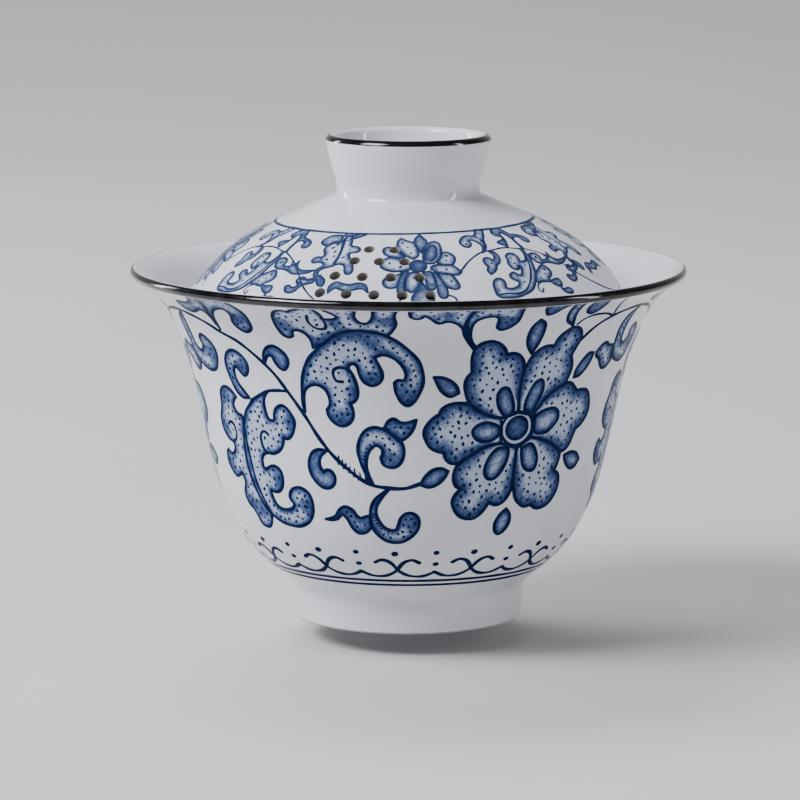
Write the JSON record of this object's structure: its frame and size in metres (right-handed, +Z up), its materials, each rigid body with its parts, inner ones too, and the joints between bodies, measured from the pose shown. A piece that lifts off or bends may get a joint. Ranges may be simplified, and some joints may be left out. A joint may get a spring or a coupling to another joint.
{
  "type": "gaiwan",
  "caption": "Lidded tea bowl: a flared porcelain bowl on a foot ring, with a domed lid that has a ring knob and a fan of drain holes.",
  "frame": {"origin": "on the surface that the gaiwan stands on, at the middle of the foot ring", "axes": "+Z up along the turning axis of the bowl and the lid; the drain holes are on the -Y side, a little towards -X"},
  "size_m": [0.1002, 0.1002, 0.0874],
  "materials": {
    "porcelain": "clear gloss glaze over white porcelain",
    "cobalt_blue": "cobalt blue painting under the clear gloss glaze: dark lines, lighter wash",
    "metal_line": "dark polished metallic lustre"
  },
  "bodies": {
    "bowl": {"foot_ring": "porcelain", "bowl": "porcelain", "bowl_rim_band": "metal_line"},
    "lid": {"lid": "porcelain", "lid_knob": "porcelain", "knob_rim_band": "metal_line"}
  },
  "joints": [
    {"name": "lid_lift", "type": "slide", "parent": "bowl", "child": "lid", "axis": [0, 0, 1], "range_m": [0, 0.05]}
  ]
}
